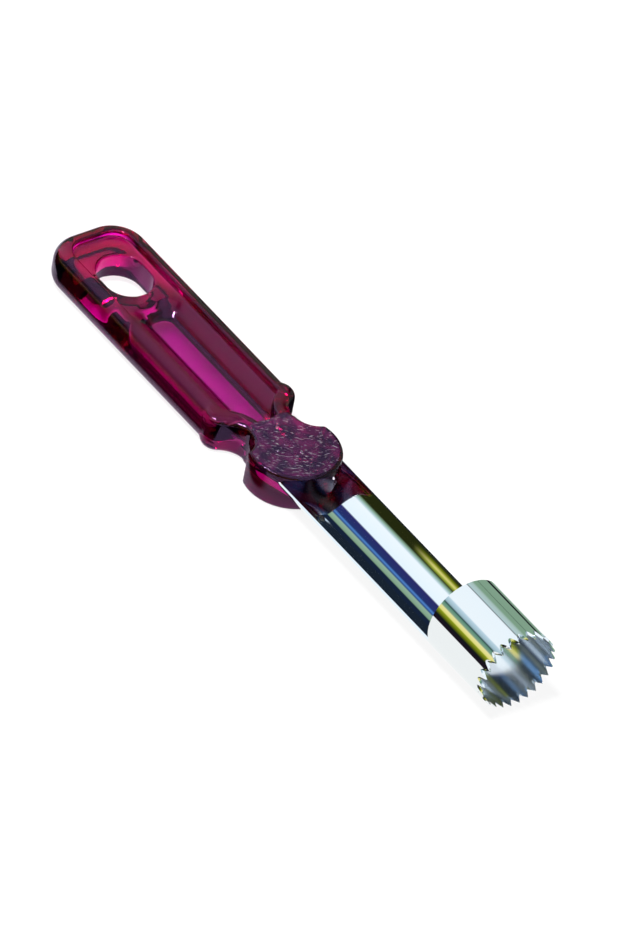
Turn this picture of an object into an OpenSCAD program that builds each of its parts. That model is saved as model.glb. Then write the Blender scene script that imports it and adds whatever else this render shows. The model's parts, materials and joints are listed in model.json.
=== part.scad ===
// Apple corer: one moulded clear plastic handle, and one blade rolled from a single
// sheet of stainless steel. The blade is a toothed ring in front and an open trough
// behind it, and the tail of the trough is moulded into the bolster of the handle.
// +X runs from the butt of the handle to the teeth, +Z is up, and the handle lies on
// its underside at z = 0, with the middle of the whole length at x = 0.

/* [Overall] */
// Length from the butt of the handle to the tips of the teeth
total_l = 190.2; // [160:0.1:230]

/* [Grip] */
// Length from the butt to the middle of the finger scallops
grip_l = 83.4; // [75:0.1:110]
// Width of the grip
grip_w = 26.2; // [23:0.1:29]
// Thickness of the handle
handle_t = 10.8; // [9.4:0.1:14]
// Corner radius of the butt, seen from above
butt_r = 9.3; // [8:0.1:10.5]
// Rounding of the sides and the butt, seen in section
side_r = 4; // [2:0.1:4.6]

/* [Neck and bolster] */
// Width of the neck between the finger scallops
neck_w = 14.4; // [9:0.1:16]
// Radius of the finger scallops
scallop_r = 6.5; // [4.5:0.1:7]
// Width across the two shoulders
shoulder_w = 26.4; // [23:0.1:29]
// Radius of the shoulders, seen from above
shoulder_r = 4.2; // [2.5:0.1:5]
// Rounding of the edges of the shoulders, the scallops and the neck
edge_r = 2; // [0.6:0.1:2.1]
// Distance from the middle of the scallops to the middle of the bolster
bolster_x = 9.8; // [9:0.1:13]
// Diameter of the bolster
bolster_d = 24.8; // [22:0.1:30]
// Rounding of the edge of the bolster
bolster_edge_r = 1.1; // [0.6:0.1:3]

/* [Recesses] */
// Width of the raised rim round the recessed panel
rim_w = 4.5; // [3:0.1:5]
// Depth of the panel below the rim, on both faces
panel_deep = 1.7; // [0.5:0.1:2]
// Distance from the butt to the start of the dished stretch of the panel
dish_start = 29.5; // [29:0.5:40]
// Width of the dished stretch
dish_w = 16.4; // [13:0.1:17]
// Depth of the dished stretch below the panel
dish_deep = 1.3; // [0.5:0.1:1.5]
// Width of the pocket where it opens in the dished stretch
pocket_w = 10.2; // [8:0.1:12]
// Width of the floor of the pocket
pocket_floor_w = 7.2; // [5:0.1:9]
// Thickness of plastic left between the pockets of the two faces
web_t = 2.2; // [1.6:0.1:3]

/* [Hang hole] */
// Distance from the butt to the middle of the hang hole
hole_x = 19; // [17:0.1:22]
// Length of the hang hole along the handle
hole_l = 16.2; // [14:0.1:17]
// Width of the hang hole
hole_w = 13.2; // [11:0.1:13.6]

/* [Blade] */
// Outer diameter of the ring
ring_d = 22; // [18:0.5:24]
// Length of the ring from its rear edge to the tips of the teeth
ring_l = 24; // [18:0.5:34]
// Thickness of the sheet
sheet_t = 0.5; // [0.4:0.05:0.8]
// Number of teeth
teeth = 26; // [18:1:34]
// Depth of the teeth
tooth_deep = 2.1; // [1.2:0.1:3]
// Width of the flat at the tip of a tooth
tooth_tip = 0.15; // [0.13:0.01:0.4]
// Gap of the seam where the rolled sheet meets itself
seam_gap = 0.15; // [0.1:0.05:0.3]
// Turn of the seam from the top of the ring, in degrees
seam_turn = -10; // [-20:1:20]
// Arc of the sheet that the trough keeps, in degrees
trough_arc = 130; // [110:1:140]
// Height of the axis of the ring above the middle of the handle
ring_rise = 7.4; // [6.4:0.1:8]

/* [Tang] */
// Length of the whole trough that is moulded into the bolster
tang_l = 13; // [10:0.5:15]
// Width of the tongue that reaches back into the neck
tongue_w = 8; // [6:0.1:9]
// Length of the tongue behind the trough
tongue_l = 13; // [8:0.5:14]
// Diameter of the hole in the tongue that the plastic fills
tongue_hole_d = 3; // [2:0.1:4]
// Clearance between the tang and the plastic round it
tang_gap = 0.05; // [0.02:0.01:0.1]

/* [Hidden] */
$fn = 96;
// Cutters pass the faces that they open by this much
over = 1;
// The rounding of a scallop's edge crosses the face at a slight angle, by this share
flare_share = 0.95;
// A tooth gap is cut from this many thicknesses of the sheet below its outer face
tooth_bite = 1.2;
// The space for the tang runs out past the front of the bolster by this much
tang_out = 2;
half_t = handle_t / 2;
ring_r = ring_d / 2;
// The butt is at this place along the tool, and the tips of the teeth at half the length
butt_x = -total_l / 2;
// Middles of the round forms, measured from the butt
scallop_mid = [grip_l, neck_w / 2 + scallop_r];
bolster_mid = grip_l + bolster_x;
bolster_front = bolster_mid + bolster_d / 2;
ring_rear = total_l - ring_l;
// A shoulder touches its scallop: their middles lie one sum of radii apart
shoulder_y = shoulder_w / 2 - shoulder_r;
shoulder_reach = shoulder_r + scallop_r;
shoulder_mid = [grip_l - sqrt(pow(shoulder_reach, 2) - pow(scallop_mid.y - shoulder_y, 2)), shoulder_y];
// Half the width of the stretch that the scallops are cut from
waist_y = shoulder_y + (scallop_mid.y - shoulder_y) * shoulder_r / shoulder_reach;
// The recesses end where the neck is narrowest
recess_end = grip_l - 2;
panel_z = half_t - panel_deep;
dish_z = panel_z - dish_deep;
floor_z = web_t / 2;
// The pocket starts where the dish has come down to its full depth
pocket_start = dish_start + (dish_w - pocket_w) / 2;
tooth_step = 360 / teeth;
tang_start = bolster_front - tang_l;
tongue_start = tang_start - tongue_l;

// Rectangle of w along the first axis and t along the second, with round corners
module round_rect(w, t, r) {
    square([w, t - 2 * r], center = true);
    square([w - 2 * r, t], center = true);
    for (side = [-1, 1], face = [-1, 1])
        translate([side * (w / 2 - r), face * (t / 2 - r)])
            circle(r);
}

// Bar along X from x = 0, with its four long edges rounded
module round_bar(l, w, r) {
    rotate([90, 0, 90])
        linear_extrude(l)
            round_rect(w, handle_t, r);
}

// Disc as thick as the handle, with its edges rounded
module round_disc(radius, r) {
    rotate_extrude() {
        translate([0, r - half_t])
            square([radius, handle_t - 2 * r]);
        translate([0, -half_t])
            square([radius - r, handle_t]);
        for (face = [-1, 1])
            translate([radius - r, face * (half_t - r)])
                circle(r);
    }
}

// End of a bar, with two rounded corners that reach as far as the bar is wide
module round_end(width, corner_r, r) {
    corner_y = width / 2 - corner_r;
    for (side = [-1, 1])
        translate([0, side * corner_y, 0])
            round_disc(corner_r, r);
    translate([0, -corner_y, 0])
        rotate([0, 0, 90])
            round_bar(2 * corner_y, 2 * corner_r, r);
}

// Cutter for one finger scallop, flared at the two faces so that its edges come out round
module scallop_cut() {
    flare_r = scallop_r + edge_r;
    flare_z = half_t - flare_share * edge_r;
    rotate_extrude()
        difference() {
            translate([0, -half_t - over])
                square([flare_r, handle_t + 2 * over]);
            translate([scallop_r, -flare_z])
                square([2 * edge_r, 2 * flare_z]);
            for (face = [-1, 1])
                translate([flare_r, face * flare_z])
                    circle(edge_r);
        }
}

// Outer form of the handle, before its recesses
module handle_body() {
    difference() {
        union() {
            translate([butt_r, 0, 0])
                round_end(grip_w, butt_r, side_r);
            translate([butt_r, 0, 0])
                round_bar(shoulder_mid.x - butt_r, grip_w, side_r);
            translate([shoulder_mid.x, 0, 0])
                round_end(shoulder_w, shoulder_r, edge_r);
            translate([shoulder_mid.x, 0, 0])
                round_bar(bolster_mid - shoulder_mid.x, 2 * waist_y, edge_r);
            translate([bolster_mid, 0, 0])
                round_disc(bolster_d / 2, bolster_edge_r);
        }
        for (side = [-1, 1])
            translate([scallop_mid.x, side * scallop_mid.y, 0])
                scallop_cut();
    }
}

// Plan of a recess that stays the given distance inside the outline of the handle
module recess_plan(inset) {
    corner_r = butt_r - inset;
    width = grip_w - 2 * inset;
    difference() {
        union() {
            translate([butt_r, -width / 2])
                square([recess_end - butt_r, width]);
            for (side = [-1, 1])
                translate([butt_r, side * (width / 2 - corner_r)])
                    circle(corner_r);
            translate([inset, corner_r - width / 2])
                square([corner_r, width - 2 * corner_r]);
        }
        for (side = [-1, 1])
            translate([scallop_mid.x, side * scallop_mid.y])
                circle(scallop_r + inset);
    }
}

// Recess of the upper face: a flat panel, then a dished stretch with a pocket in it
module recess() {
    translate([0, 0, panel_z])
        linear_extrude(panel_deep + over)
            recess_plan(rim_w);
    intersection() {
        union() {
            drafted_pit(dish_start, dish_w, pocket_w, panel_z, dish_z);
            drafted_pit(pocket_start, pocket_w, pocket_floor_w, dish_z, floor_z);
        }
        translate([0, 0, floor_z])
            linear_extrude(panel_z)
                recess_plan(rim_w);
    }
}

// Pit up to the end of the recess whose two sides and rear wall slope alike
module drafted_pit(start, top_w, bottom_w, top_z, bottom_z) {
    slope = (top_w - bottom_w) / 2;
    intersection() {
        rotate([90, 0, 90])
            linear_extrude(recess_end)
                polygon([[-bottom_w / 2, bottom_z], [bottom_w / 2, bottom_z],
                    [top_w / 2, top_z], [-top_w / 2, top_z]]);
        rotate([90, 0, 0])
            linear_extrude(grip_w, center = true)
                polygon([[start, top_z], [start + slope, bottom_z],
                    [recess_end, bottom_z], [recess_end, top_z]]);
    }
}

// Oval hang hole: two round ends with a short straight stretch between them
module hang_hole() {
    end_x = (hole_l - hole_w) / 2;
    linear_extrude(handle_t + 2 * over, center = true) {
        for (side = [-1, 1])
            translate([side * end_x, 0])
                circle(hole_w / 2);
        square([2 * end_x, hole_w], center = true);
    }
}

// Sheet rolled to the ring's radius from the end of the tongue to the tips of the teeth,
// before its notches, made thicker on every side by the given gap
module sheet(gap) {
    start = tongue_start - gap;
    translate([start, 0, ring_rise])
        rotate([0, 90, 0])
            difference() {
                cylinder(h = total_l - start, r = ring_r + gap);
                translate([0, 0, -over])
                    cylinder(h = total_l - start + 2 * over, r = ring_r - sheet_t - gap);
            }
}

// All of the sheet's length that is open above the trough, and beside the tongue
module trough_cut(gap) {
    far = 2 * ring_d;
    edge_a = trough_arc / 2;
    side = tongue_w / 2 + gap;
    translate([tongue_start - over, 0, ring_rise])
        rotate([90, 0, 90])
            linear_extrude(ring_rear - tongue_start + over)
                polygon([
                    [0, gap / sin(edge_a)],
                    [far * sin(edge_a), gap / sin(edge_a) - far * cos(edge_a)],
                    [far * sin(edge_a), far],
                    [-far * sin(edge_a), far],
                    [-far * sin(edge_a), gap / sin(edge_a) - far * cos(edge_a)]
                ]);
    for (turn = [-1, 1])
        translate([tongue_start - over, turn > 0 ? side : -side - ring_d, ring_rise - ring_d])
            cube([tang_start - gap - tongue_start + over, ring_d, ring_d]);
}

// Tail of the blade, and with a gap the space that it takes up inside the plastic
module tang(gap) {
    difference() {
        sheet(gap);
        trough_cut(gap);
        translate([bolster_front + tang_out, -ring_d, -ring_d])
            cube([total_l, 2 * ring_d, 3 * ring_d]);
        translate([tongue_start + tongue_l / 2, 0, 0])
            cylinder(h = ring_d, r = tongue_hole_d / 2 - gap, center = true);
    }
}

// Handle moulded in one piece of clear plastic
module handle() {
    color("#a3196b")
        translate([butt_x, 0, half_t])
            difference() {
                handle_body();
                for (face = [0, 1])
                    mirror([0, 0, face])
                        recess();
                translate([hole_x, 0, 0])
                    hang_hole();
                tang(tang_gap);
            }
}

// Blade of one polished sheet: toothed ring, trough and tang
module blade() {
    color("#c9d0d4")
        translate([butt_x, 0, half_t])
            difference() {
                sheet(0);
                trough_cut(0);
                translate([tongue_start + tongue_l / 2, 0, 0])
                    cylinder(h = ring_d, r = tongue_hole_d / 2, center = true);
                ring_cuts();
            }
}

// Seam of the rolled ring and the gaps between its teeth
module ring_cuts() {
    translate([ring_rear, 0, ring_rise])
        rotate([0, 90, 0])
            rotate([0, 0, 180 + seam_turn]) {
                translate([0, -seam_gap / 2, -over])
                    cube([ring_d, seam_gap, ring_l + 2 * over]);
                for (i = [0 : teeth - 1])
                    rotate([0, 0, i * tooth_step])
                        tooth_gap();
            }
}

// Gap between two teeth: a wedge whose point lies one tooth depth behind the tips
module tooth_gap() {
    half_w = ring_r * tan(tooth_step / 2) - tooth_tip / 2;
    translate([ring_r - tooth_bite * sheet_t, 0, ring_l - tooth_deep])
        rotate([90, 0, 90])
            linear_extrude(2 * tooth_bite * sheet_t)
                polygon([[0, 0], [half_w, tooth_deep], [half_w, tooth_deep + over],
                    [-half_w, tooth_deep + over], [-half_w, tooth_deep]]);
}

handle();
blade();
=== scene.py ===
# %% [markdown]
# This lesson dresses an apple corer for a studio picture. The tool has only two pieces: a handle
# moulded from clear magenta plastic, and a blade rolled from one sheet of polished steel. The
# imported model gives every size, so the first step loads it and keeps its box to measure against.

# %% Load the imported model
import json
from math import atan2, cos, degrees, inf, pi, radians, sin

import bpy
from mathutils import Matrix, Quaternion, Vector

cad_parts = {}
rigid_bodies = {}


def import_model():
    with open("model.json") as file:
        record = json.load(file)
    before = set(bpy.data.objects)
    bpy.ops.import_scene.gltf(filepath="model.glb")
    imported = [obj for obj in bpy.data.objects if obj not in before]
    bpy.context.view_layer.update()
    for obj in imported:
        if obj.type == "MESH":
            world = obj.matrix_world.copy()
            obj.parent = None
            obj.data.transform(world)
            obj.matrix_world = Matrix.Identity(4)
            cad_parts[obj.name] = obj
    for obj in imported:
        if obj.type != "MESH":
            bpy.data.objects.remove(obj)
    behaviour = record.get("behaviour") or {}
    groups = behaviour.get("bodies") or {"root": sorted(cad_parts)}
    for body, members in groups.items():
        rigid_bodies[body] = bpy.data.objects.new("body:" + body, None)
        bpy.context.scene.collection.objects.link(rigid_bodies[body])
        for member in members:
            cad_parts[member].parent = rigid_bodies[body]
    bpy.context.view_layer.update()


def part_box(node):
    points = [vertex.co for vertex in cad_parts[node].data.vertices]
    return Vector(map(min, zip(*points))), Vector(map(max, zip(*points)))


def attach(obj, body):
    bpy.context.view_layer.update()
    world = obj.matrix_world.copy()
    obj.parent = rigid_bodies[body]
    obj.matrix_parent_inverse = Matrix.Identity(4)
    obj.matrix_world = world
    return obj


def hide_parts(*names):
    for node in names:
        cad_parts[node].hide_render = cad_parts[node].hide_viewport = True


MM = 0.001
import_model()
scene = bpy.context.scene
handle_low, handle_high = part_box("handle")
blade_low, blade_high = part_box("blade")
print("handle box in mm:", [round(c / MM, 2) for c in (*handle_low, *handle_high)])
print("blade box in mm:", [round(c / MM, 2) for c in (*blade_low, *blade_high)])

# %% [markdown]
# The photograph looks down on the tool from the side of its teeth, through a long lens, and the
# camera leans a little to one side. A far camera with a very long lens keeps parallel edges
# parallel, as the picture has them. The lens is worked out from the height of the view.

# %% Camera
AZIMUTH = radians(47.5)
ELEVATION = radians(39.8)
LEAN = radians(11.3)
DISTANCE = 6.5
VIEW_HEIGHT = 231.7 * MM
AIM = Vector((5.00, 0.17, 9.73)) * MM


def direction(azimuth, elevation):
    """Unit vector from the object to a viewer at this azimuth and elevation."""
    flat = cos(elevation)
    return Vector((flat * sin(azimuth), -flat * cos(azimuth), sin(elevation)))


toward = direction(AZIMUTH, ELEVATION)
camera = bpy.data.objects.new("camera", bpy.data.cameras.new("camera"))
scene.collection.objects.link(camera)
camera.location = AIM + toward * DISTANCE
camera.rotation_mode = "QUATERNION"
camera.rotation_quaternion = toward.to_track_quat("Z", "Y") @ Quaternion((0, 0, 1), LEAN)
camera.data.lens = camera.data.sensor_width * DISTANCE / VIEW_HEIGHT
scene.camera = camera
scene.view_settings.view_transform = "Standard"
print("lens in mm:", round(camera.data.lens))

# %% [markdown]
# The handle is one moulding. All its sizes are in millimetres, and lengths start at the butt. The
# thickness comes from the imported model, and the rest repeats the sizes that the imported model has.
# A shoulder and a scallop touch, so their middles lie one sum of radii apart, and that gives the
# place of the shoulder.

# %% Sizes of the handle
THICK = (handle_high.z - handle_low.z) / MM
BUTT_X = handle_low.x / MM
FACES = (0, THICK)
MIDDLE = THICK / 2
GRIP_L = 83.4
GRIP_W = 26.2
BUTT_R = 9.3
SIDE_R = 4.0
NECK_W = 14.4
SCALLOP_R = 6.5
SHOULDER_W = 26.4
SHOULDER_R = 4.2
EDGE_R = 2.0
BOLSTER_X = 9.8
BOLSTER_D = 24.8
BOLSTER_EDGE_R = 1.1
scallop_y = NECK_W / 2 + SCALLOP_R
shoulder_y = SHOULDER_W / 2 - SHOULDER_R
reach = SCALLOP_R + SHOULDER_R
shoulder_x = GRIP_L - (reach**2 - (scallop_y - shoulder_y) ** 2) ** 0.5
waist_y = shoulder_y + (scallop_y - shoulder_y) * SHOULDER_R / reach
bolster_x = GRIP_L + BOLSTER_X


def along(x):
    """Place on the frame's X axis, in millimetres, of a length from the butt."""
    return BUTT_X + x


print("middle of shoulders and bolster from the butt:", round(shoulder_x, 2), bolster_x)

# %% [markdown]
# The pieces are modelled as by hand: a primitive is placed, its edges are rounded, its faces are
# moved, and solids are added to it or cut from it. The first helpers place a box or an upright
# cylinder, with its size and place put into its mesh.

# %% Helpers that place a solid
ROUND_SIDES = 96


def only(obj):
    """Leaves object mode with this object alone selected and active."""
    if bpy.context.object and bpy.context.object.mode != "OBJECT":
        bpy.ops.object.mode_set(mode="OBJECT")
    bpy.ops.object.select_all(action="DESELECT")
    obj.select_set(True)
    bpy.context.view_layer.objects.active = obj


def place_in_mesh(name):
    """Names the new primitive, and puts its place, turn and scale into its mesh."""
    made = bpy.context.object
    made.name = name
    only(made)
    bpy.ops.object.transform_apply(location=True, rotation=True, scale=True)
    return made


def block(name, x, y, z):
    """Box between pairs of millimetre values along the three axes."""
    pairs = (x, y, z)
    middle = [sum(pair) / 2 * MM for pair in pairs]
    bpy.ops.object.select_all(action="DESELECT")
    bpy.ops.mesh.primitive_cube_add(size=1, location=middle)
    bpy.context.object.scale = [(pair[1] - pair[0]) * MM for pair in pairs]
    return place_in_mesh(name)


def post(name, radius, x, y, z):
    """Upright cylinder at x and y, between a pair of heights, in millimetres."""
    bpy.ops.object.select_all(action="DESELECT")
    bpy.ops.mesh.primitive_cylinder_add(
        vertices=ROUND_SIDES,
        radius=radius * MM,
        depth=(z[1] - z[0]) * MM,
        location=(x * MM, y * MM, sum(z) / 2 * MM),
    )
    return place_in_mesh(name)


# %% [markdown]
# The next helpers shape what is placed. No hand is there to click on an edge, so vertices, edges
# and faces are chosen by their place.


# %% Helpers that shape a solid
def choose(obj, kind, test):
    """Enters edit mode with only the vertices, edges or faces that pass a test.

    The test gets a vertex's place, an edge's two ends, or a face's middle, in millimetres.
    """
    only(obj)
    bpy.ops.object.mode_set(mode="EDIT")
    bpy.ops.mesh.select_mode(type=kind)
    bpy.ops.mesh.select_all(action="DESELECT")
    bpy.ops.object.mode_set(mode="OBJECT")
    mesh = obj.data
    if kind == "VERT":
        for item in mesh.vertices:
            item.select = test(item.co / MM)
    elif kind == "EDGE":
        for item in mesh.edges:
            item.select = test(*[mesh.vertices[i].co / MM for i in item.vertices])
    else:
        for item in mesh.polygons:
            item.select = test(item.center / MM)
    bpy.ops.object.mode_set(mode="EDIT")


def everywhere(place):
    """Test that every vertex or face passes."""
    return True


def round_edges(obj, test, radius, steps):
    """Bevels the chosen edges to a radius in millimetres."""
    choose(obj, "EDGE", test)
    bpy.ops.mesh.bevel(
        offset=radius * MM, offset_type="OFFSET", segments=steps, profile=0.5, affect="EDGES"
    )
    only(obj)


def combine(base, tool, operation):
    """Adds a solid to another or cuts it away, and removes the tool."""
    only(base)
    change = base.modifiers.new("combine", "BOOLEAN")
    change.operation = operation
    change.solver = "EXACT"
    change.object = tool
    bpy.ops.object.modifier_apply(modifier=change.name)
    bpy.data.objects.remove(tool)


# %% [markdown]
# The grip is a thick bar with a round butt. The two upright edges of the butt are rounded first,
# and then the outline of the lower and upper faces, all but the end where the waist goes on.
# Points that are as near as NEAR are taken as one place, and an edge that is as close as CLOSE to
# the butt belongs to it, both in millimetres.

# %% Grip
NEAR = 1e-3
CLOSE = 1.0
BUTT_STEPS = 24
SIDE_STEPS = 12


def upright(a, b):
    """Whether an edge stands straight up."""
    return (a - b).xy.length < NEAR


def round_faces(made, radius, steps, before=inf):
    """Rounds the outline of both faces, except where it closes the far end."""
    for z in FACES:

        def on_outline(a, b):
            level = abs(a.z - z) < NEAR and abs(b.z - z) < NEAR
            return level and min(a.x, b.x) < before

        round_edges(made, on_outline, radius, steps)


handle = block("handle", (along(0), along(shoulder_x)), (-GRIP_W / 2, GRIP_W / 2), FACES)
round_edges(handle, lambda a, b: upright(a, b) and a.x < along(CLOSE), BUTT_R, BUTT_STEPS)
round_faces(handle, SIDE_R, SIDE_STEPS, along(shoulder_x) - NEAR)
print("grip:", len(handle.data.polygons), "faces")

# %% [markdown]
# Two finger scallops make the neck. The waist is a plain bar with round shoulders, and each
# scallop is cut from it with an upright cylinder. Its outline could be drawn at once with the
# grip's, but its edges are rounded by another radius, so it is rounded first and then joined.

# %% Waist with its shoulders and scallops
PAST = 2.0
EDGE_STEPS = 8
FLAT_ANGLE = radians(0.5)


def cut_scallops(made):
    """Cuts both finger scallops from a solid."""
    for side in (-1, 1):
        heights = (-PAST, THICK + PAST)
        scallop = post("scallop", SCALLOP_R, along(GRIP_L), side * scallop_y, heights)
        combine(made, scallop, "DIFFERENCE")


waist = block("waist", (along(shoulder_x - PAST), along(bolster_x)), (-waist_y, waist_y), FACES)
for side in (-1, 1):
    shoulder = post("shoulder", SHOULDER_R, along(shoulder_x), side * shoulder_y, FACES)
    combine(waist, shoulder, "UNION")
cut_scallops(waist)
choose(waist, "FACE", everywhere)
bpy.ops.mesh.dissolve_limited(angle_limit=FLAT_ANGLE)
round_faces(waist, EDGE_R, EDGE_STEPS)
combine(handle, waist, "UNION")
print("grip and waist:", len(handle.data.polygons), "faces")

# %% [markdown]
# The bolster is a round disc that the scallops cut into, with a smaller rounding than the waist
# has. It is cut before its edges are rounded, so that the sharp corners beside the scallops stay.

# %% Bolster
BOLSTER_STEPS = 6
bolster = post("bolster", BOLSTER_D / 2, along(bolster_x), 0, FACES)
cut_scallops(bolster)
round_faces(bolster, BOLSTER_EDGE_R, BOLSTER_STEPS)
combine(handle, bolster, "UNION")
print("whole body:", len(handle.data.polygons), "faces")

# %% [markdown]
# Both faces are cored out, as thick mouldings are, so that the plastic cools evenly: a flat panel
# inside a raised rim, then a dish with sloping sides, then a pocket with a thin web left between
# the two faces.

# %% Sizes of the recesses
RIM_W = 4.5
PANEL_DEEP = 1.7
DISH_X = 29.5
DISH_W = 16.4
DISH_DEEP = 1.3
DISH_CORNER = 4.0
POCKET_W = 10.2
POCKET_CORNER = 2.5
FLOOR_W = 7.2
WEB = 2.2
SHORT_OF_NECK = 2.0
recess_end = GRIP_L - SHORT_OF_NECK
pocket_x = DISH_X + (DISH_W - POCKET_W) / 2
panel_z = MIDDLE - PANEL_DEEP
dish_z = panel_z - DISH_DEEP
floor_z = WEB / 2
print("heights of panel, dish and pocket over the middle:", [panel_z, dish_z, floor_z])

# %% [markdown]
# A pit starts as a box. Its deep face is made narrower, which tilts the sides, and the rear of
# that face is moved in, which tilts the rear wall.

# %% Pit with sloping sides
PIT_STEPS = 8


def pit(face, start, end, widths, heights, corner):
    """Cutter with sloping sides and rear, from its upper width and height to its deeper ones."""
    top_w, bottom_w = widths
    slope = (top_w - bottom_w) / 2
    top, deep = (MIDDLE + face * height for height in heights)
    across = (-top_w / 2, top_w / 2)
    made = block("pit", (along(start), along(end)), across, sorted((deep, top)))
    choose(made, "VERT", lambda co: abs(co.z - deep) < NEAR)
    bpy.ops.transform.resize(value=(1, bottom_w / top_w, 1), center_override=(0, 0, 0))
    choose(made, "VERT", lambda co: abs(co.z - deep) < NEAR and co.x < along(start + CLOSE))
    bpy.ops.transform.translate(value=(slope * MM, 0, 0))

    def rear_corner(a, b):
        return max(a.x, b.x) < along(start + slope + CLOSE) and abs(a.z - b.z) > NEAR

    round_edges(made, rear_corner, corner, PIT_STEPS)
    return made


# %% [markdown]
# One cutter is made for each face from the panel, the dish and the pocket. Each part reaches a
# little into the one above it, and their ends lie a little apart, because cutters whose walls lie
# in one plane confuse a Boolean.

# %% Recesses
PANEL_STEPS = 16
LAP = 0.4
APART = 0.01


def recess(face):
    """Cutter of one face's recess."""
    half = GRIP_W / 2 - RIM_W
    heights = (MIDDLE + panel_z, THICK + PAST) if face > 0 else (-PAST, MIDDLE - panel_z)
    made = block("recess", (along(RIM_W), along(recess_end)), (-half, half), heights)
    butt = along(RIM_W + CLOSE)
    round_edges(made, lambda a, b: upright(a, b) and a.x < butt, BUTT_R - RIM_W, PANEL_STEPS)
    levels = (panel_z + LAP, dish_z)
    end = recess_end - APART
    combine(made, pit(face, DISH_X, end, (DISH_W, POCKET_W), levels, DISH_CORNER), "UNION")
    levels = (dish_z + LAP, floor_z)
    end = recess_end - 2 * APART
    combine(made, pit(face, pocket_x, end, (POCKET_W, FLOOR_W), levels, POCKET_CORNER), "UNION")
    for side in (-1, 1):
        heights = (-2 * PAST, THICK + 2 * PAST)
        rim = post("rim", SCALLOP_R + RIM_W, along(GRIP_L), side * scallop_y, heights)
        combine(made, rim, "DIFFERENCE")
    return made


for face in (-1, 1):
    combine(handle, recess(face), "DIFFERENCE")
print("handle with recesses:", len(handle.data.polygons), "faces")

# %% [markdown]
# The oval hole near the butt is for a hook. A box with its upright edges rounded right round is
# enough for it.

# %% Hang hole
HOLE_X = 19.0
HOLE_L = 16.2
HOLE_W = 13.2
HOLE_STEPS = 32
hang_hole = block(
    "hang_hole",
    (along(HOLE_X - HOLE_L / 2), along(HOLE_X + HOLE_L / 2)),
    (-HOLE_W / 2, HOLE_W / 2),
    (-PAST, THICK + PAST),
)
round_edges(hang_hole, upright, HOLE_W / 2 - APART, HOLE_STEPS)
combine(handle, hang_hole, "DIFFERENCE")
print("handle after cuts:", len(handle.data.polygons), "faces")

# %% [markdown]
# No edge of a moulding is sharp, and clear plastic shows it, because each rounding bends the
# light. Bevels would fail where so many cuts meet, so the finished solid is remeshed on a fine
# grid and smoothed a few times, which rounds every edge by a few tenths of a millimetre.

# %% Moulded edges
VOXEL = 0.33
SMOOTH_TIMES = 6
only(handle)
remesh = handle.modifiers.new("remesh", "REMESH")
remesh.mode = "VOXEL"
remesh.voxel_size = VOXEL * MM
remesh.use_smooth_shade = True
bpy.ops.object.modifier_apply(modifier=remesh.name)
soften = handle.modifiers.new("soften", "SMOOTH")
soften.factor = 0.5
soften.iterations = SMOOTH_TIMES
bpy.ops.object.modifier_apply(modifier=soften.name)
bpy.ops.object.shade_smooth()
handle.data.name = "handle_plastic"
handle.name = "clear_handle"
print("handle:", len(handle.data.polygons), "faces")

# %% [markdown]
# The blade is one sheet of stainless steel, half a millimetre thick. Its front is rolled into a
# ring, behind that it is an open trough, and its tail is moulded into the bolster and ends in a
# tongue.

# %% Sizes of the blade
RING_D = 22.0
RING_L = 24.0
RING_RISE = 7.4
SHEET = 0.5
TEETH = 26
TOOTH_DEEP = 2.1
SEAM_GAP = 0.1
SEAM_TURN = 10.0
TROUGH_ARC = 130.0
TANG_L = 13.0
TONGUE_W = 8.0
TONGUE_L = 13.0
total = (blade_high.x - handle_low.x) / MM
ring_r = RING_D / 2
axis_z = MIDDLE + RING_RISE
bolster_front = bolster_x + BOLSTER_D / 2
tang_start = bolster_front - TANG_L
tongue_start = tang_start - TONGUE_L
ring_rear = total - RING_L
print("tongue, tang, ring and tips from the butt:", [tongue_start, tang_start, ring_rear, total])

# %% [markdown]
# Everything on the blade has its place round the axis of the ring, so these helpers measure and
# turn by the angle about that axis.


# %% Angles round the ring
def turn_of(co):
    """Angle of a point round the ring's axis in degrees, from the top towards +Y."""
    return degrees(atan2(co.y, co.z - axis_z))


def difference(angle, other):
    """Signed difference of two angles in degrees, from -180 to 180."""
    return (angle - other + 180) % 360 - 180


def turn(angle):
    """Turns what is chosen about the ring's axis, from the top towards +Y."""
    middle = (0, 0, axis_z * MM)
    bpy.ops.transform.rotate(value=radians(angle), orient_axis="X", center_override=middle)


# %% [markdown]
# A rolled sheet has the same round section all along, so a circle is extruded through the places
# where the shape changes. The circle has twelve points for each tooth, and it is turned until one
# of them lies on the seam.

# %% Roll the sheet
STEPS = 12
GROUND_L = 1.4
tooth_step = 360 / TEETH
step = tooth_step / STEPS
bpy.ops.object.select_all(action="DESELECT")
bpy.ops.mesh.primitive_circle_add(
    vertices=TEETH * STEPS,
    radius=(ring_r - SHEET) * MM,
    location=(along(tongue_start) * MM, 0, axis_z * MM),
    rotation=(0, radians(90), 0),
)
blade = place_in_mesh("blade_sheet")
first = turn_of(blade.data.vertices[0].co / MM)
choose(blade, "VERT", everywhere)
turn(-difference(first, SEAM_TURN) % step)
at = tongue_start
for x in (tang_start, ring_rear, total - TOOTH_DEEP - GROUND_L, total):
    bpy.ops.mesh.extrude_region_move(TRANSFORM_OT_translate={"value": ((x - at) * MM, 0, 0)})
    at = x
only(blade)
print("rolled sheet:", len(blade.data.polygons), "faces")

# %% [markdown]
# The real sheet is blanked flat before it is rolled. Here it is rolled first, and the faces that
# the blank doesn't have are deleted, which leaves the trough and the tongue.


# %% Open the trough and the tongue
def waste(middle):
    """Whether a face is cut away above the trough or beside the tongue."""
    above = abs(difference(turn_of(middle), 180)) > TROUGH_ARC / 2
    beside = abs(middle.y) > TONGUE_W / 2
    return (middle.x < along(ring_rear) and above) or (middle.x < along(tang_start) and beside)


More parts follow.
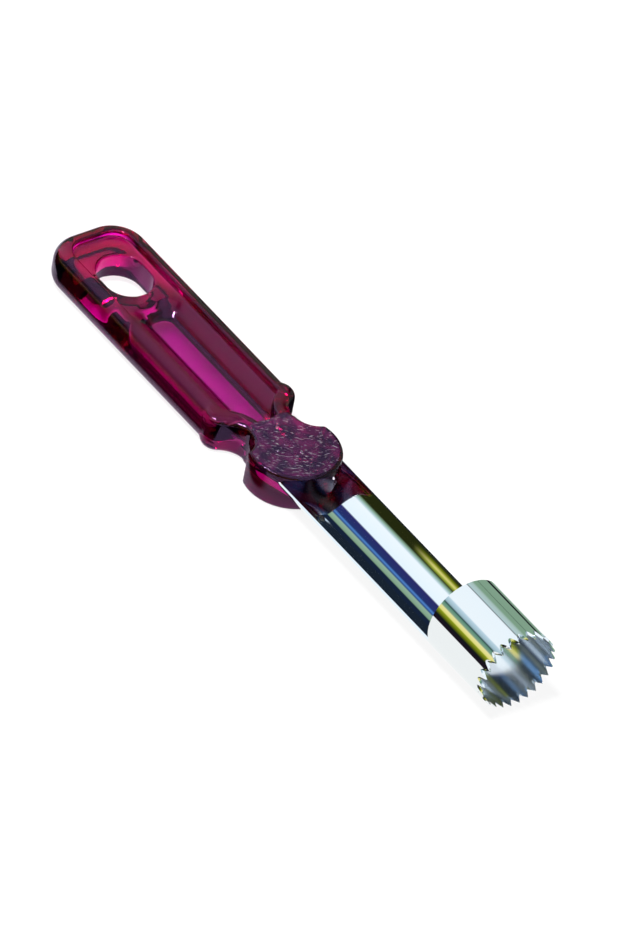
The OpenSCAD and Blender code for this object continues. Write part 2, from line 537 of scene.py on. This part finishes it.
choose(blade, "FACE", waste)
bpy.ops.mesh.delete(type="FACE")
only(blade)
print("open sheet:", len(blade.data.polygons), "faces")

# %% [markdown]
# The ring closes in a butt seam. The rows of points on its two sides are moved up to it, and the
# narrow faces between them are deleted. SLACK in millimetres and ROW_SLACK in degrees say how far
# from its row a point may lie.

# %% Seam
SLACK = 0.05
ROW_SLACK = 0.2
half_gap = degrees(SEAM_GAP / 2 / ring_r)
for side in (-1, 1):
    row = SEAM_TURN + side * step

    def on_row(co):
        return co.x > along(ring_rear) - SLACK and abs(difference(turn_of(co), row)) < ROW_SLACK

    choose(blade, "VERT", on_row)
    turn(side * (half_gap - step))


def in_seam(middle):
    return middle.x > along(ring_rear) and abs(difference(turn_of(middle), SEAM_TURN)) < half_gap


choose(blade, "FACE", in_seam)
bpy.ops.mesh.delete(type="FACE")
only(blade)
print("seam from", round(SEAM_TURN - half_gap, 2), "to", round(SEAM_TURN + half_gap, 2), "degrees")

# %% [markdown]
# The sheet gets its wall after its normals are made to point outwards, so that the inner radius
# stays where the circle was drawn.

# %% Thickness
choose(blade, "FACE", everywhere)
bpy.ops.mesh.normals_make_consistent(inside=False)
only(blade)
top_face = max(blade.data.polygons, key=lambda item: item.center.z)
if top_face.normal.z < 0:
    choose(blade, "FACE", everywhere)
    bpy.ops.mesh.flip_normals()
    only(blade)
wall = blade.modifiers.new("wall", "SOLIDIFY")
wall.thickness = SHEET * MM
wall.offset = 1.0
wall.use_even_offset = True
bpy.ops.object.modifier_apply(modifier=wall.name)
print("top of the ring in mm:", round(max(v.co.z for v in blade.data.vertices) / MM, 2))

# %% [markdown]
# The teeth are punched in the flat sheet and ground on the outside. The inner edge is pushed back
# in straight V shapes and the outer edge in wider round ones, and the faces between the two are
# the ground bevels that shine round each tooth.

# %% Grind the teeth
GROUND_TIP = 0.4
GROUND_DEEP = 2.5


def grind(inside):
    """Pushes the front edge back, in V shapes inside and wider round ones outside."""
    for phase in range(STEPS):
        share = abs(phase / STEPS - 0.5) * 2
        back = TOOTH_DEEP * share if inside else GROUND_TIP + GROUND_DEEP * sin(pi / 2 * share)

        def on_phase(co):
            off = difference(turn_of(co), SEAM_TURN + phase * step) % tooth_step
            in_phase = min(off, tooth_step - off) < step / 3
            is_inner = Vector((co.y, co.z - axis_z)).length < ring_r - SHEET / 2
            return co.x > along(total) - SLACK and in_phase and is_inner == inside

        choose(blade, "VERT", on_phase)
        bpy.ops.transform.translate(value=(-back * MM, 0, 0))
        only(blade)


for inside in (True, False):
    grind(inside)
print("teeth:", TEETH, "with a step of", round(tooth_step, 2), "degrees")

# %% [markdown]
# Plastic flows through a hole in the tongue and holds the blade. Then all the cut edges get a
# very small bevel, because an edge of real sheet catches a line of light. Weighted normals keep
# the long rolled faces straight in their reflections, although the bevels beside them turn.

# %% Tongue hole and edges
TONGUE_HOLE_D = 3.0
CUT_EDGE = 0.05
hole_x = along(tongue_start + TONGUE_L / 2)
tongue_hole = post("tongue_hole", TONGUE_HOLE_D / 2, hole_x, 0, (-PAST, MIDDLE))
combine(blade, tongue_hole, "DIFFERENCE")
only(blade)
edges = blade.modifiers.new("edges", "BEVEL")
edges.limit_method = "ANGLE"
edges.angle_limit = radians(50)
edges.width = CUT_EDGE * MM
edges.segments = 2
bpy.ops.object.modifier_apply(modifier=edges.name)
bpy.ops.object.shade_smooth_by_angle(angle=radians(30))
weighted = blade.modifiers.new("weighted", "WEIGHTED_NORMAL")
weighted.keep_sharp = True
bpy.ops.object.modifier_apply(modifier=weighted.name)
print("blade:", len(blade.data.polygons), "faces")

# %% [markdown]
# Every material is a small tree of nodes. One function turns a written colour into the linear
# values that Blender mixes, and one function adds a node with its settings and links.


# %% Helpers for materials
def linear(hex_colour):
    """Linear red, green, blue and alpha of an sRGB hex value such as #a3196b."""
    values = [int(hex_colour[i : i + 2], 16) / 255 for i in (1, 3, 5)]
    return (*[v / 12.92 if v <= 0.04045 else ((v + 0.055) / 1.055) ** 2.4 for v in values], 1.0)


def node(tree, kind, settings=None, **inputs):
    """Adds a node, sets its properties, and fills or links its inputs.

    An input goes by its name, or by its number after an underscore. A node that is given as an
    input is linked from its first output.
    """
    made = tree.nodes.new(kind)
    for name, value in (settings or {}).items():
        setattr(made, name, value)
    for name, value in inputs.items():
        key = int(name[1:]) if name[0] == "_" else name.replace("_", " ")
        if isinstance(value, bpy.types.Node):
            value = value.outputs[0]
        if isinstance(value, bpy.types.NodeSocket):
            tree.links.new(value, made.inputs[key])
        else:
            made.inputs[key].default_value = value
    return made


def new_material(name):
    """A material with no nodes yet, and its tree."""
    material = bpy.data.materials.new(name)
    material.use_nodes = True
    material.node_tree.nodes.clear()
    return material, material.node_tree


WHITE = linear("#ffffff")
print("magenta as linear values:", [round(v, 3) for v in linear("#a3196b")])

# %% [markdown]
# Polished steel has hardly a colour of its own. What the picture shows in it are the studio's
# cards and walls, drawn out as bands along the tool. So the surroundings are written as bands of
# colour over the angle about the tool's length, from straight down through -Y, the top and +Y to
# straight down again. The far bands stand in the world. The deep ones are what the inside of the
# ring shows after several mirrorings.

# %% Bands of the far studio
FAR_BANDS = [
    (-180, "#eaeeee"), (-104, "#e6ebeb"), (-101, "#15171a"), (-86, "#15171a"),
    (-82, "#525c10"), (-73, "#8f9c20"), (-70, "#e8e080"), (-62, "#e9e2a0"),
    (-59, "#7d9f86"), (-52, "#5f8f7c"), (-49, "#1f3a35"), (-45, "#9fbcc8"),
    (-35, "#bcd6e4"), (-32, "#f0f9ff"), (23, "#eef8ff"), (26, "#27352f"),
    (28, "#b4ccd0"), (40, "#a9c2bc"), (46, "#7fa088"), (140, "#86a58e"),
    (150, "#eef2f0"), (180, "#e4e8e6"),
]
DEEP_BANDS = [
    (-180, "#23272b"), (-150, "#2a4468"), (-130, "#7db0ea"), (-112, "#7db0ea"),
    (-104, "#1b2f4c"), (-90, "#14181c"), (-72, "#8f9c20"), (-64, "#14181c"),
    (-48, "#8d9a92"), (-34, "#35516e"), (-20, "#d8ecff"), (-4, "#d8ecff"),
    (6, "#35507c"), (18, "#14181c"), (35, "#8d9a92"), (50, "#24344c"),
    (66, "#7db0ea"), (82, "#7db0ea"), (92, "#1b2f4c"), (115, "#14181c"),
    (180, "#23272b"),
]
print("bands:", len(FAR_BANDS), "far,", len(DEEP_BANDS), "deep")

# %% [markdown]
# A band needs the angle of a direction about the tool, and a colour ramp that is driven by it.
# The ramp starts at its first stop and ends at its last.


# %% Ramps and angles in a material
def ramp_of(tree, value, stops):
    """Colour ramp over stops of place and colour, driven by a value."""
    low, high = stops[0][0], stops[-1][0]
    share = node(tree, "ShaderNodeMapRange", Value=value, From_Min=low, From_Max=high)
    made = node(tree, "ShaderNodeValToRGB", Fac=share)
    elements = made.color_ramp.elements
    for i, (place, colour) in enumerate(stops):
        at = (place - low) / (high - low)
        stop = elements[i] if i < 2 else elements.new(at)
        stop.position = at
        stop.color = linear(colour)
    return made


def angle_about_x(tree, vector, height):
    """Angle in degrees about the tool's length at a height, from straight up towards +Y."""
    split = node(tree, "ShaderNodeSeparateXYZ", Vector=vector)
    y, z = split.outputs["Y"], split.outputs["Z"]
    over = node(tree, "ShaderNodeMath", {"operation": "SUBTRACT"}, _0=z, _1=height)
    angle = node(tree, "ShaderNodeMath", {"operation": "ARCTAN2"}, _0=y, _1=over)
    return node(tree, "ShaderNodeMath", {"operation": "MULTIPLY"}, _0=angle, _1=180 / pi)


def mirrored_before(tree, path):
    """One for a ray that has left a mirror for the second time or later, and zero for the rest."""
    depth = path.outputs["Glossy Depth"]
    return node(tree, "ShaderNodeMath", {"operation": "GREATER_THAN"}, _0=depth, _1=1.5)


# %% [markdown]
# The world answers each kind of ray in its own way. The camera sees white, matt surfaces get soft
# white light, the steel mirrors the bands, and a ray that has been mirrored before sees the deep
# ones. What the clear plastic sees through itself is a dark grey, as in a studio with dark cards
# behind glass, so that its edges are drawn.

# %% World
BEHIND_PLASTIC = "#4c4650"
FAR_LIGHT = 1.05
SOFT_LIGHT = 0.6
SOFT_LIGHT_IN_PLASTIC = 0.25
world = bpy.data.worlds.new("studio")
scene.world = world
world.use_nodes = True
tree = world.node_tree
tree.nodes.clear()
place = node(tree, "ShaderNodeTexCoord")
path = node(tree, "ShaderNodeLightPath")
through = path.outputs["Is Transmission Ray"]
angle = angle_about_x(tree, place.outputs["Generated"], 0.0)
far = node(tree, "ShaderNodeBackground", Color=ramp_of(tree, angle, FAR_BANDS), Strength=FAR_LIGHT)
deep = node(tree, "ShaderNodeBackground", Color=ramp_of(tree, angle, DEEP_BANDS), Strength=1.0)
bands = node(tree, "ShaderNodeMixShader", Fac=mirrored_before(tree, path), _1=far, _2=deep)
grey = node(tree, "ShaderNodeBackground", Color=linear(BEHIND_PLASTIC), Strength=1.0)
mirrored = node(tree, "ShaderNodeMixShader", Fac=through, _1=bands, _2=grey)
soft = node(tree, "ShaderNodeBackground", Color=WHITE, Strength=SOFT_LIGHT)
dim = node(tree, "ShaderNodeBackground", Color=WHITE, Strength=SOFT_LIGHT_IN_PLASTIC)
scattered = node(tree, "ShaderNodeMixShader", Fac=through, _1=soft, _2=dim)
matt = node(
    tree, "ShaderNodeMath", {"operation": "MINIMUM"}, _0=path.outputs["Diffuse Depth"], _1=1.0
)
lit = node(tree, "ShaderNodeMixShader", Fac=matt, _1=mirrored, _2=scattered)
white = node(tree, "ShaderNodeBackground", Color=WHITE, Strength=1.0)
seen = node(tree, "ShaderNodeMixShader", Fac=path.outputs["Is Camera Ray"], _1=lit, _2=white)
node(tree, "ShaderNodeOutputWorld", Surface=seen)
print("world:", len(tree.nodes), "nodes")

# %% [markdown]
# The floor is a sheet of matt white paper, which keeps the tool's soft shadow. First come the two
# looks that only the steel and the plastic show, and then it is put together. The steel mirrors a
# painted reflection on it: the floor glows in bands along the tool that only mirrored rays see, white
# with a dark end beside the blade, and a narrow pale strip beside the handle.

# %% Floor as the steel mirrors it
FLOOR_SIZE = 3.0
# Painted reflection: bands that the floor shows only to mirrored rays, in metres across the tool.
BESIDE_BLADE = [(-0.110, "#101412"), (-0.100, "#f6f9f9"), (0.045, "#f6f9f9"), (0.055, "#7fa088")]
BESIDE_HANDLE = [
    (-0.0170, "#1c1420"), (-0.0158, "#e6dcee"), (0.0158, "#e6dcee"), (0.0170, "#1c1420"),
]
BLADE_FROM = (0.0, 0.004)
bpy.ops.mesh.primitive_plane_add(size=FLOOR_SIZE, location=(0, 0, 0))
floor = place_in_mesh("floor")
paper, tree = new_material("matt_paper")
path = node(tree, "ShaderNodeLightPath")
place = node(tree, "ShaderNodeTexCoord")
split = node(tree, "ShaderNodeSeparateXYZ", Vector=place.outputs["Object"])
past_bolster = node(
    tree, "ShaderNodeMapRange",
    Value=split.outputs["X"], From_Min=BLADE_FROM[0], From_Max=BLADE_FROM[1],
)
painted_reflection_bands = node(
    tree, "ShaderNodeMix", {"data_type": "RGBA"}, Factor=past_bolster,
    _6=ramp_of(tree, split.outputs["Y"], BESIDE_HANDLE),
    _7=ramp_of(tree, split.outputs["Y"], BESIDE_BLADE),
).outputs[2]
painted_reflection_glow = node(tree, "ShaderNodeEmission", Color=painted_reflection_bands, Strength=1.0)
print("floor:", FLOOR_SIZE, "m across")

# %% [markdown]
# The clear plastic sees the paper under it in a painted shade of grey, which stands in for the little
# light that gets under a handle. The painted shade is lighter in a strip under the pocket, and
# lightest under the panel round the hole.

# %% Floor as the plastic shows it
STRIP_Y = 4.0
STRIP_HALF = (3.5, 6.0)
# Painted shade: grey tones of the paper under the pocket strip and under the panel.
STRIP_PAINTED_SHADE = (0.55, 0.2)
PANEL_HALF = (9.0, 12.0)
PANEL_PAINTED_SHADE = (0.9, 0.12)
PANEL_UNTIL = (-74.0, -66.0)
to_side = node(
    tree, "ShaderNodeMath", {"operation": "SUBTRACT"}, _0=split.outputs["Y"], _1=STRIP_Y * MM
)
aside = node(tree, "ShaderNodeMath", {"operation": "ABSOLUTE"}, _0=to_side)
strip = node(
    tree, "ShaderNodeMapRange", Value=aside,
    From_Min=STRIP_HALF[0] * MM, From_Max=STRIP_HALF[1] * MM,
    To_Min=STRIP_PAINTED_SHADE[0], To_Max=STRIP_PAINTED_SHADE[1],
)
panel = node(
    tree, "ShaderNodeMapRange", Value=aside,
    From_Min=PANEL_HALF[0] * MM, From_Max=PANEL_HALF[1] * MM,
    To_Min=PANEL_PAINTED_SHADE[0], To_Max=PANEL_PAINTED_SHADE[1],
)
at_butt = node(
    tree, "ShaderNodeMapRange", Value=split.outputs["X"],
    From_Min=PANEL_UNTIL[0] * MM, From_Max=PANEL_UNTIL[1] * MM, To_Min=1.0, To_Max=0.0,
)
# Painted shade under the handle: a grey paper colour that stands in for the shadow there.
painted_shade_tone = node(tree, "ShaderNodeMix", {"data_type": "FLOAT"}, Factor=at_butt, _2=strip, _3=panel)
paper_in_painted_shade = node(tree, "ShaderNodeBsdfDiffuse", Color=painted_shade_tone)
print("strip under the pocket:", 2 * STRIP_HALF[0], "mm wide")

# %% [markdown]
# To the camera the paper is mostly plain white, with a share of real matt paper in it, which is what
# keeps the shadow faint. A ray that was mirrored before sees it glow dark blue, a painted reflection.

# %% Floor put together
PAPER = "#f3f3f3"
DARK = "#1b2634"
PLAIN_SHARE = 0.84
open_paper = node(tree, "ShaderNodeBsdfDiffuse", Color=linear(PAPER))
matt = node(
    tree, "ShaderNodeMixShader",
    Fac=path.outputs["Is Transmission Ray"], _1=open_paper, _2=paper_in_painted_shade,
)
white_glow = node(tree, "ShaderNodeEmission", Color=WHITE, Strength=1.0)
plain = node(
    tree, "ShaderNodeMath", {"operation": "MULTIPLY"},
    _0=path.outputs["Is Camera Ray"], _1=PLAIN_SHARE,
)
shown = node(tree, "ShaderNodeMixShader", Fac=plain, _1=matt, _2=white_glow)
# Painted reflection: the floor glows dark blue for a ray that was mirrored before.
dark_glow = node(tree, "ShaderNodeEmission", Color=linear(DARK), Strength=1.0)
glow = node(
    tree, "ShaderNodeMixShader", Fac=mirrored_before(tree, path), _1=painted_reflection_glow, _2=dark_glow
)
by_mirror = node(
    tree, "ShaderNodeMath", {"operation": "SUBTRACT", "use_clamp": True},
    _0=path.outputs["Is Glossy Ray"], _1=path.outputs["Is Transmission Ray"],
)
surface = node(tree, "ShaderNodeMixShader", Fac=by_mirror, _1=shown, _2=glow)
node(tree, "ShaderNodeOutputMaterial", Surface=surface)
floor.data.materials.append(paper)
print("paper:", len(tree.nodes), "nodes")

# %% [markdown]
# The inside of the trough mirrors a part of the studio that the outside of the ring can't see. A
# curved card stands there, over the handle, printed with bands of its own. The camera doesn't see
# it and it casts no shadow.

# %% Bands of the card
NEAR_BANDS = [
    (-180, "#e4e8e6"), (-104, "#c9cdc8"), (-101, "#20241c"), (-86, "#2c3212"),
    (-80, "#77820f"), (-73, "#d9d27a"), (-68, "#9aa83a"), (-62, "#2c3212"),
    (-57, "#7f9f84"), (-51, "#b0ccd0"), (-46, "#eef7ff"), (-8, "#e6f4ff"),
    (-5, "#2a2a66"), (16, "#23336b"), (21, "#4f82c8"), (27, "#2c4a80"),
    (31, "#8fae98"), (45, "#7f9f84"), (49, "#16233a"), (112, "#101a2c"),
    (118, "#e4e8e6"), (180, "#e4e8e6"),
]
OLIVE = "#23280f"
OLIVE_SPAN = (-95, -60)
SHADED_BANDS = [
    (place, OLIVE if OLIVE_SPAN[0] < place < OLIVE_SPAN[1] else colour)
    for place, colour in NEAR_BANDS
]
print("card:", len(NEAR_BANDS), "bands")

# %% [markdown]
# The card is a tube that stays open at both ends. On its rear part the yellow band is dark, which
# puts a dark end on the yellow line in the trough.

# %% Card over the handle
CARD_R = 0.3
CARD_X = (-0.200, -0.139)
CARD_SIDES = 180
CARD_LIGHT = 1.1
YELLOW_FROM = (-0.172, -0.163)
bpy.ops.object.select_all(action="DESELECT")
bpy.ops.mesh.primitive_cylinder_add(
    vertices=CARD_SIDES,
    radius=CARD_R,
    depth=CARD_X[1] - CARD_X[0],
    end_fill_type="NOTHING",
    location=(sum(CARD_X) / 2, 0, axis_z * MM),
    rotation=(0, radians(90), 0),
)
card = place_in_mesh("card")
printed, tree = new_material("printed_card")
place = node(tree, "ShaderNodeTexCoord")
path = node(tree, "ShaderNodeLightPath")
angle = angle_about_x(tree, place.outputs["Object"], axis_z * MM)
split = node(tree, "ShaderNodeSeparateXYZ", Vector=place.outputs["Object"])
to_teeth = node(
    tree, "ShaderNodeMapRange",
    Value=split.outputs["X"], From_Min=YELLOW_FROM[0], From_Max=YELLOW_FROM[1],
)
near = node(
    tree, "ShaderNodeMix", {"data_type": "RGBA"}, Factor=to_teeth,
    _6=ramp_of(tree, angle, SHADED_BANDS), _7=ramp_of(tree, angle, NEAR_BANDS),
).outputs[2]
glow = node(tree, "ShaderNodeEmission", Color=near, Strength=CARD_LIGHT)
dark_glow = node(tree, "ShaderNodeEmission", Color=linear(DARK), Strength=1.0)
surface = node(
    tree, "ShaderNodeMixShader", Fac=mirrored_before(tree, path), _1=glow, _2=dark_glow
)
node(tree, "ShaderNodeOutputMaterial", Surface=surface)
card.data.materials.append(printed)
card.visible_camera = False
card.visible_diffuse = False
card.visible_transmission = False
card.visible_shadow = False
print("card:", [round(c / MM) for c in card.dimensions], "mm")

# %% [markdown]
# One lamp above gives the faint shadow. A long strip lamp puts the small white gleams on the
# edges of the plastic and the steel, and gives no light to matt surfaces.


# %% Lamps
def area_lamp(name, energy, size, place):
    """Area lamp that points at the tool, with its size along both sides in metres."""
    made = bpy.data.objects.new(name, bpy.data.lights.new(name, "AREA"))
    scene.collection.objects.link(made)
    made.data.shape = "RECTANGLE"
    made.data.size, made.data.size_y = size
    made.data.energy = energy
    made.location = place
    made.rotation_mode = "QUATERNION"
    made.rotation_quaternion = made.location.to_track_quat("Z", "Y")
    return made


key = area_lamp("key", 14.0, (0.25, 0.25), (0.0, -0.33, 0.94))
key.visible_glossy = False
gleam = area_lamp("gleam", 9.0, (0.45, 0.10), (-0.08, -0.58, 0.81))
gleam.visible_diffuse = False
gleam.visible_transmission = False
print("lamps:", [(lamp.name, lamp.data.energy) for lamp in (key, gleam)])

# %% [markdown]
# The blade is stainless steel, polished after rolling, so it mirrors almost sharply and has a
# barely cool white of its own. The inside of the ring can't be reached by the polishing wheel, so
# it is a little rougher, and its mirror image is blurred.

# %% Steel
STEEL = "#f4f6f7"
POLISHED = 0.025
UNPOLISHED = 0.15
steel, tree = new_material("polished_stainless_steel")
place = node(tree, "ShaderNodeTexCoord")
split = node(tree, "ShaderNodeSeparateXYZ", Vector=place.outputs["Object"])
flat = node(tree, "ShaderNodeCombineXYZ", Y=split.outputs["Y"], Z=split.outputs["Z"])
radius = node(
    tree, "ShaderNodeVectorMath", {"operation": "DISTANCE"}, _0=flat, _1=(0, 0, axis_z * MM)
)
inner = node(
    tree, "ShaderNodeMath", {"operation": "LESS_THAN"},
    _0=radius.outputs["Value"], _1=(ring_r - SHEET / 2) * MM,
)
in_ring = node(
    tree, "ShaderNodeMath", {"operation": "GREATER_THAN"},
    _0=split.outputs["X"], _1=along(ring_rear) * MM,
)
bore = node(tree, "ShaderNodeMath", {"operation": "MULTIPLY"}, _0=inner, _1=in_ring)
rough = node(tree, "ShaderNodeMapRange", Value=bore, To_Min=POLISHED, To_Max=UNPOLISHED)
shader = node(
    tree, "ShaderNodeBsdfPrincipled", Base_Color=linear(STEEL), Metallic=1.0, Roughness=rough
)
node(tree, "ShaderNodeOutputMaterial", Surface=shader)
print("steel:", len(tree.nodes), "nodes")

# %% [markdown]
# The handle is a clear plastic such as styrene acrylonitrile, moulded in polished steel. The
# faces of its neck and bolster have a stippled pad, which scatters the light. The pad is a mask:
# it is one near the two flat faces and past the end of the recess, and fades out within the
# rounded edge.

# %% Place of the stippled pad
PAD_FADE = (0.12, 0.04)
PAD_HALF_FADE = 0.5
plastic, tree = new_material("clear_magenta_plastic")
place = node(tree, "ShaderNodeTexCoord")
split = node(tree, "ShaderNodeSeparateXYZ", Vector=place.outputs["Object"])
from_middle = node(
    tree, "ShaderNodeMath", {"operation": "SUBTRACT"}, _0=split.outputs["Z"], _1=MIDDLE * MM
)
height = node(tree, "ShaderNodeMath", {"operation": "ABSOLUTE"}, _0=from_middle)
on_face = node(
    tree, "ShaderNodeMapRange", Value=height,
    From_Min=(MIDDLE - PAD_FADE[0]) * MM, From_Max=(MIDDLE - PAD_FADE[1]) * MM,
)
on_bolster = node(
    tree, "ShaderNodeMapRange", Value=split.outputs["X"],
    From_Min=along(recess_end - PAD_HALF_FADE) * MM,
    From_Max=along(recess_end + PAD_HALF_FADE) * MM,
)
pad = node(tree, "ShaderNodeMath", {"operation": "MULTIPLY"}, _0=on_face, _1=on_bolster)
print("pad from", round(along(recess_end), 1), "mm on")

# %% [markdown]
# The stipple is a noise of short ridges. They are about 0.4 mm wide and 1.2 mm long, and all lie
# the same way. Only the peaks of the noise become ridges, and they raise the surface by a bump of
# about a tenth of a millimetre. The real ridges are no coarser than this in the picture.

# %% Ridges of the stipple
RIDGES_PER_MM = 2.3
RIDGE_STRETCH = 2.8
RIDGE_TURN = radians(54.8)
RIDGE_PEAKS = (0.61, 0.69)
RIDGE_HIGH = 0.12
laid = node(
    tree, "ShaderNodeMapping", {"vector_type": "TEXTURE"}, Vector=place.outputs["Object"],
    Rotation=(0, 0, RIDGE_TURN), Scale=(RIDGE_STRETCH, 1.0, 1.0),
)
grain = node(
    tree, "ShaderNodeTexNoise",
    Vector=laid, Scale=RIDGES_PER_MM / MM, Detail=1.0, Roughness=0.5,
)
ridge = node(
    tree, "ShaderNodeMapRange", {"interpolation_type": "SMOOTHSTEP"},
    Value=grain, From_Min=RIDGE_PEAKS[0], From_Max=RIDGE_PEAKS[1],
)
raised = node(tree, "ShaderNodeMath", {"operation": "MULTIPLY"}, _0=ridge, _1=pad)
relief = node(tree, "ShaderNodeBump", Height=raised, Strength=0.8, Distance=RIDGE_HIGH * MM)
print("ridge width in mm:", round(1 / RIDGES_PER_MM, 2))

# %% [markdown]
# Between the ridges the pad looks cloudy, with dark patches about 3 mm across, and the tops of the
# ridges carry a pale painted highlight. These colours reach full strength before the pad starts to
# turn less clear, or a white rim would show round it.

# %% Colours of the pad, with a painted highlight on its ridges
CLOUDS_PER_MM = 0.3
CLOUD_RANGE = (0.4, 0.62)
PAD_DARK = "#3a1448"
PAD_LIGHT = "#82246c"
# Painted highlight: a pale colour on the tops of the ridges.
RIDGE_PAINTED_HIGHLIGHT = "#dccfe2"
cloud = node(
    tree, "ShaderNodeTexNoise",
    Vector=place.outputs["Object"], Scale=CLOUDS_PER_MM / MM, Detail=2.0,
)
patch = node(
    tree, "ShaderNodeMapRange", Value=cloud, From_Min=CLOUD_RANGE[0], From_Max=CLOUD_RANGE[1]
)
ground = node(
    tree, "ShaderNodeMix", {"data_type": "RGBA"},
    Factor=patch, _6=linear(PAD_DARK), _7=linear(PAD_LIGHT),
)
# The ridge tops are mixed towards the pale painted highlight.
stipple = node(
    tree, "ShaderNodeMix", {"data_type": "RGBA"},
    Factor=ridge, _6=ground.outputs[2], _7=linear(RIDGE_PAINTED_HIGHLIGHT),
)
tinted = node(tree, "ShaderNodeMapRange", Value=pad, From_Max=0.5)
tint = node(
    tree, "ShaderNodeMix", {"data_type": "RGBA"}, Factor=tinted, _6=WHITE, _7=stipple.outputs[2]
)
print("cloud size in mm:", round(1 / CLOUDS_PER_MM, 1))

# %% [markdown]
# The plastic is tinted right through, and such a tint is an absorption: a thin web is bright
# magenta, and a thick rim is dark. Its gloss is tinted towards violet, as the edges are in the
# picture.

# %% Plastic
PLASTIC_IOR = 1.53
GLOSS = "#e7adff"
PASSED = "#fa00f2"
PASSED_DENSITY = 1600.0
SMOOTH_ROUGH = 0.01
PAD_ROUGH = 0.2
PAD_CLEAR = 0.8
rough = node(tree, "ShaderNodeMapRange", Value=pad, To_Min=SMOOTH_ROUGH, To_Max=PAD_ROUGH)
clear = node(
    tree, "ShaderNodeMapRange", Value=pad, From_Min=0.5, To_Min=1.0, To_Max=PAD_CLEAR
)
shader = node(
    tree, "ShaderNodeBsdfPrincipled", Base_Color=tint.outputs[2], Roughness=rough,
    IOR=PLASTIC_IOR, Transmission_Weight=clear, Specular_Tint=linear(GLOSS), Normal=relief,
)
inside = node(
    tree, "ShaderNodeVolumeAbsorption", Color=linear(PASSED), Density=PASSED_DENSITY
)
node(tree, "ShaderNodeOutputMaterial", Surface=shader, Volume=inside)
print("plastic:", len(tree.nodes), "nodes")

# %% [markdown]
# Each piece rides on the tool's one body, gets its material and takes the place of its CAD piece,
# which is hidden.

# %% Put the pieces in their places
for piece, material in ((handle, plastic), (blade, steel)):
    piece.data.materials.clear()
    piece.data.materials.append(material)
    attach(piece, "root")
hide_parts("handle")
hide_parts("blade")
print("pieces:", handle.name, "and", blade.name)
